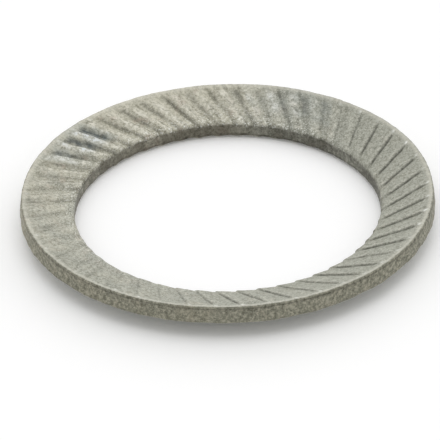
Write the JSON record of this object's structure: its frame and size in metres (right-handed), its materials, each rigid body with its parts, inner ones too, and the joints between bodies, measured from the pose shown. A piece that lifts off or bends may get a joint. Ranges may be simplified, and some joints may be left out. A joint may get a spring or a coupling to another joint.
{
  "type": "conical ribbed lock washer",
  "caption": "Dished spring-steel lock washer with slanted saw-tooth ribs on both faces that bite under a bolt head or nut.",
  "frame": {"origin": "on the washer's axis, in the plane that the lower edge of the bore rests on", "axes": "+Z is the washer's axis, towards the hollow side of the dish and the raised outer edge; +X and +Y are square to it"},
  "size_m": [0.039, 0.039, 0.0032],
  "materials": {
    "coated_steel": "matt grey-olive zinc coating with a fine grain, worn lighter on the ribs"
  },
  "bodies": {
    "root": {"lock_washer": "coated_steel"}
  },
  "joints": []
}
